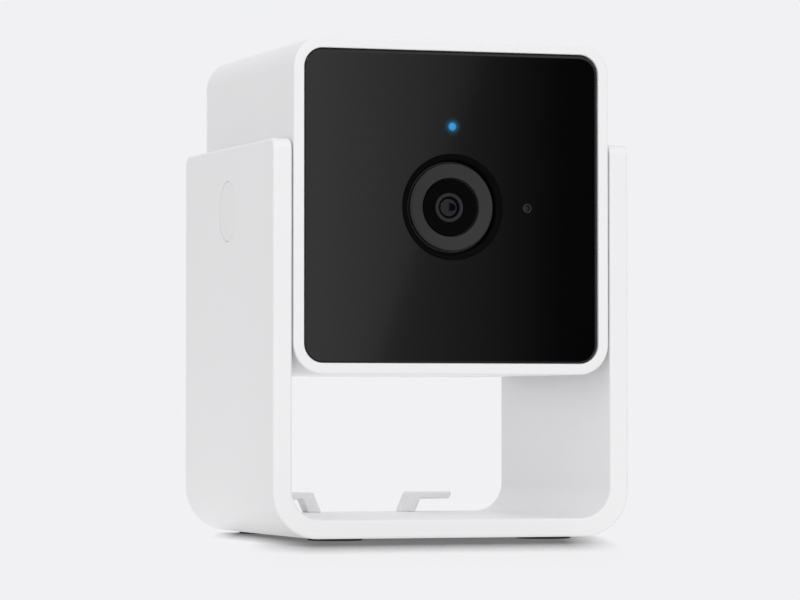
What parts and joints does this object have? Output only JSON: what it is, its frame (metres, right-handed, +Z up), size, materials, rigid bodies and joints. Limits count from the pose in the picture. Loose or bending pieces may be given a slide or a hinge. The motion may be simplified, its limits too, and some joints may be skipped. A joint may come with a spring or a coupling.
{
  "type": "compact pet camera",
  "caption": "Compact home pet camera: a square head with a lens in a glossy black face, tilting between the arms of a white U-shaped stand.",
  "frame": {"origin": "on the ground, under the middle of the stand", "axes": "+Z up, -Y out of the lens, +X to the right of someone who looks at the lens"},
  "size_m": [0.061, 0.0534, 0.0813],
  "materials": {
    "white_shell": "satin white moulding",
    "black_gloss": "polished black panel that passes infrared",
    "dark_plastic": "matte black moulding",
    "bezel_grey": "matte dark grey ring",
    "hook_grey": "satin grey moulding",
    "button_grey": "satin grey moulding",
    "black_rubber": "soft matte rubber",
    "washer_plastic": "slippery natural plastic",
    "optical_glass": "coated optical glass",
    "chip_black": "moulded package",
    "led_body": "moulded light package",
    "blue_light": "clear pin lit blue",
    "board_green": "solder mask",
    "plated_steel": "nickel plated",
    "brass_insert": "knurled insert",
    "soft_pad": "soft heat pad",
    "bare_aluminium": "stamped sheet",
    "cone_film": "pressed film",
    "connector_plastic": "moulded",
    "ribbon_film": "amber film"
  },
  "bodies": {
    "stand": {"stand_frame": "white_shell", "rubber_feet": "black_rubber", "cable_hook_left": "hook_grey", "cable_hook_right": "hook_grey", "pivot_cap_left": "white_shell", "pivot_cap_right": "white_shell", "friction_washer_left": "washer_plastic", "friction_washer_right": "washer_plastic"},
    "head": {"head_shell": "white_shell", "rear_cover": "white_shell", "microphone_boot": "black_rubber", "speaker_gasket": "black_rubber", "front_panel": "black_gloss", "front_carrier": "dark_plastic", "lens_barrel": "dark_plastic", "lens_holder": "dark_plastic", "lens_retainer": "dark_plastic", "lens_bezel": "bezel_grey", "speaker_frame": "dark_plastic", "front_lens": "optical_glass", "middle_lens": "optical_glass", "rear_lens": "optical_glass", "infrared_filter": "optical_glass", "image_sensor": "chip_black", "processor_chip": "chip_black", "light_sensor": "chip_black", "reset_switch": "chip_black", "infrared_leds": "led_body", "status_led": "led_body", "status_light_pipe": "blue_light", "sensor_board": "board_green", "led_board": "board_green", "main_board": "board_green", "wifi_antenna": "board_green", "microphone": "plated_steel", "wifi_module": "plated_steel", "usb_socket": "plated_steel", "sensor_board_screws": "plated_steel", "case_screws": "plated_steel", "pivot_screw_left": "plated_steel", "pivot_screw_right": "plated_steel", "speaker_magnet": "plated_steel", "usb_tongue": "chip_black", "pivot_nut_left": "brass_insert", "pivot_nut_right": "brass_insert", "thermal_pad": "soft_pad", "heat_spreader": "bare_aluminium", "speaker_cone": "cone_film", "ribbon_connectors": "connector_plastic", "sensor_ribbon": "ribbon_film"},
    "reset_button": {"reset_button": "button_grey"},
    "switch_plunger": {"switch_plunger": "connector_plastic"}
  },
  "joints": [
    {"name": "head_tilt", "type": "hinge", "parent": "stand", "child": "head", "pos_m": [0, 0, 0.0541], "axis": [1, 0, 0], "range_deg": [-90, 45]},
    {"name": "reset_press", "type": "slide", "parent": "head", "child": "reset_button", "axis": [0, -1, 0], "range_m": [0, 0.0004], "stiffness_N_per_m": 1000, "springref_m": -0.0005},
    {"name": "plunger_press", "type": "slide", "parent": "head", "child": "switch_plunger", "axis": [0, -1, 0], "range_m": [0, 0.0004]}
  ],
  "couplings": [
    {"joint": "plunger_press", "follows": "reset_press", "ratio": 1}
  ]
}
